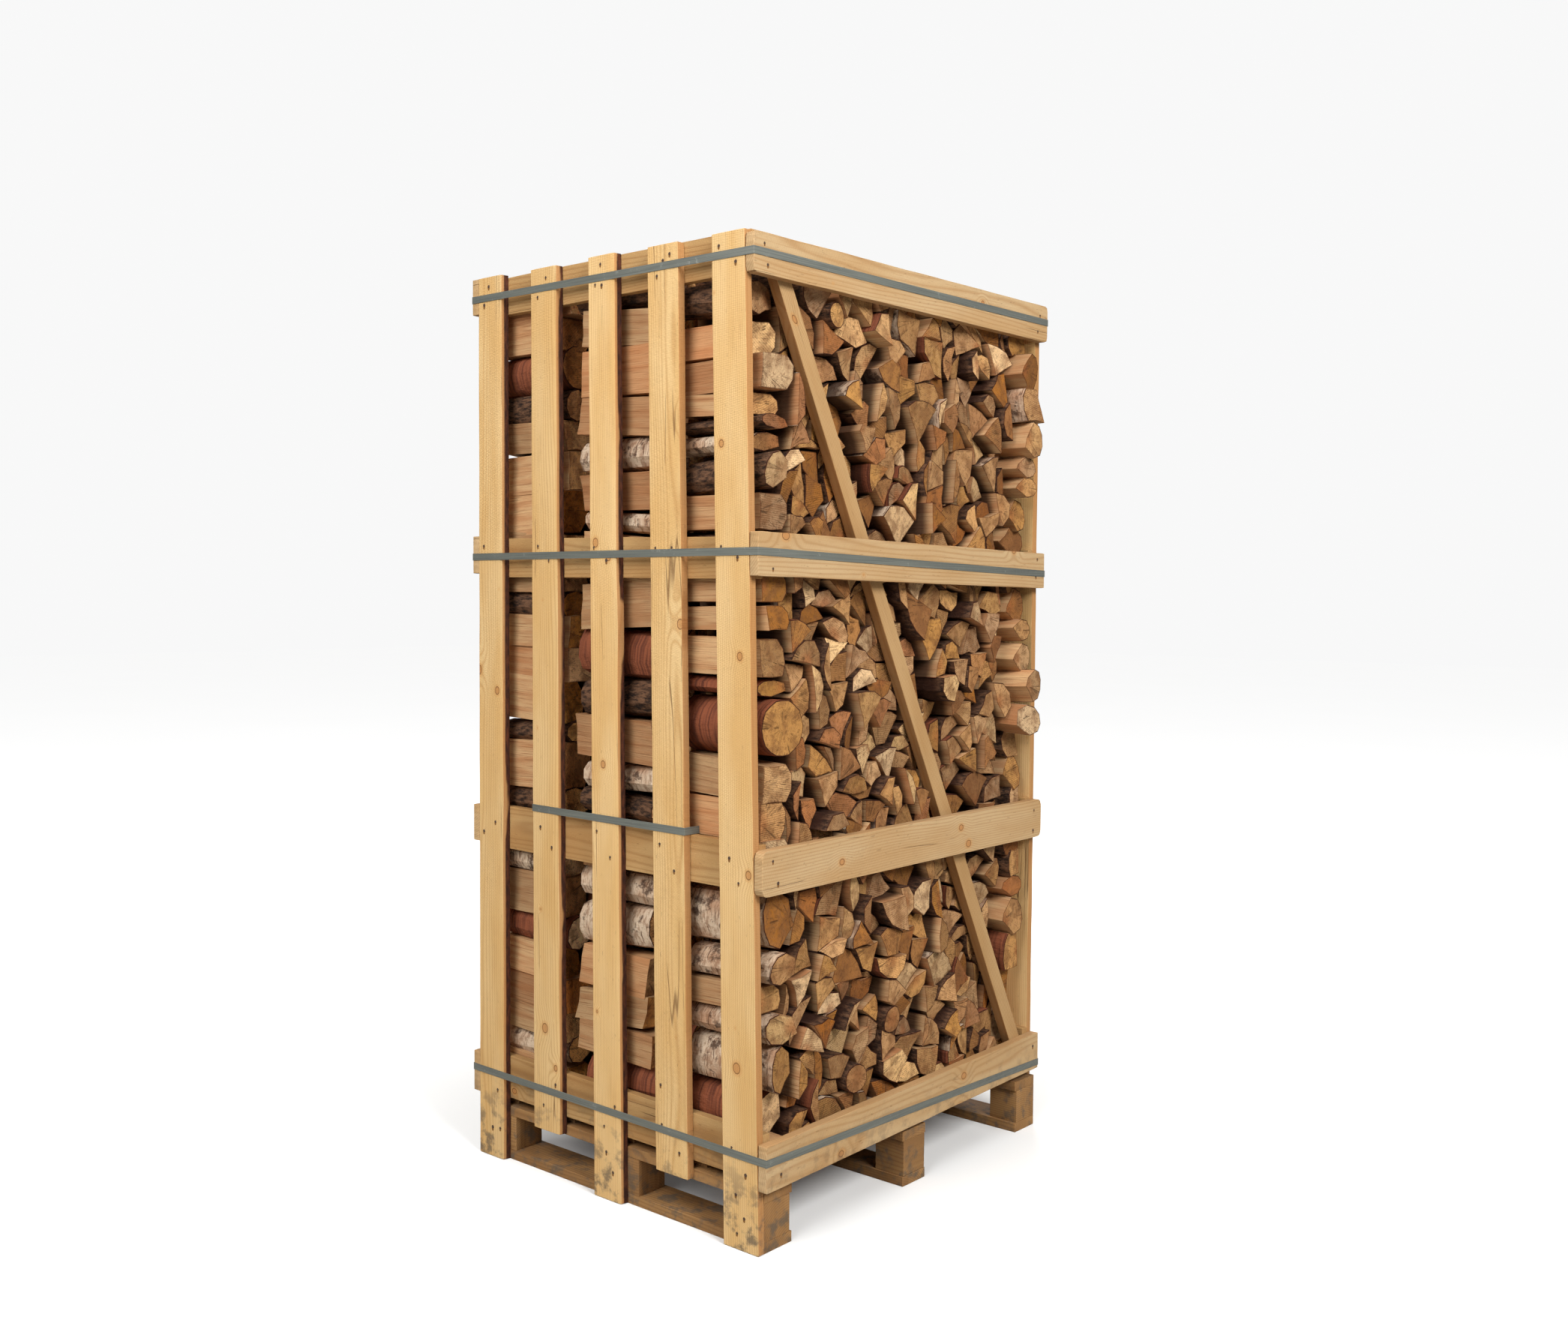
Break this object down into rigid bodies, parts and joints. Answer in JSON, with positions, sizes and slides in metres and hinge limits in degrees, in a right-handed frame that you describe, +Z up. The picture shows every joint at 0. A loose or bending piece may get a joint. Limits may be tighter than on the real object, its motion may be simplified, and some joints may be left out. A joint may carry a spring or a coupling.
{
  "type": "pallet of split firewood",
  "caption": "Tall slatted wooden crate on a pallet, packed with stacked split birch logs and held by flat straps.",
  "frame": {"origin": "centre of the underside of the pallet's middle floor board, on the floor", "axes": "+X to the right along the slatted front, +Y into the depth, +Z up"},
  "size_m": [0.9159, 1.0446, 2.014],
  "materials": {
    "pallet_wood": "rough sawn softwood, dusty",
    "slat_wood": "rough sawn softwood, pale yellow",
    "rail_wood": "rough sawn softwood",
    "board_wood": "rough sawn softwood",
    "split_logs": "split birch with bark",
    "strapping": "flat grey plastic band"
  },
  "bodies": {
    "root": {"back_rail_1": "rail_wood", "back_rail_2": "rail_wood", "back_rail_3": "rail_wood", "back_rail_4": "rail_wood", "back_slat_1": "slat_wood", "back_slat_2": "slat_wood", "back_slat_3": "slat_wood", "back_slat_4": "slat_wood", "back_slat_5": "slat_wood", "block_1_1": "pallet_wood", "block_1_2": "pallet_wood", "block_1_3": "pallet_wood", "block_2_1": "pallet_wood", "block_2_2": "pallet_wood", "block_2_3": "pallet_wood", "block_3_1": "pallet_wood", "block_3_2": "pallet_wood", "block_3_3": "pallet_wood", "deck_board_1": "pallet_wood", "deck_board_2": "pallet_wood", "deck_board_3": "pallet_wood", "deck_board_4": "pallet_wood", "deck_board_5": "pallet_wood", "floor_board_1": "pallet_wood", "floor_board_2": "pallet_wood", "floor_board_3": "pallet_wood", "front_rail_1": "rail_wood", "front_rail_2": "rail_wood", "front_rail_3": "rail_wood", "front_rail_4": "rail_wood", "front_slat_1": "slat_wood", "front_slat_2": "slat_wood", "front_slat_3": "slat_wood", "front_slat_4": "slat_wood", "front_slat_5": "slat_wood", "left_board_1": "board_wood", "left_board_2": "board_wood", "left_board_3": "board_wood", "left_board_4": "board_wood", "left_brace": "board_wood", "logs_left": "split_logs", "logs_middle": "split_logs", "logs_right": "split_logs", "right_board_1": "board_wood", "right_board_2": "board_wood", "right_board_3": "board_wood", "right_board_4": "board_wood", "right_brace": "board_wood", "strap_1": "strapping", "strap_2": "strapping", "strap_3": "strapping", "stringer_1": "pallet_wood", "stringer_2": "pallet_wood", "stringer_3": "pallet_wood", "tie_strap": "strapping"}
  },
  "joints": []
}
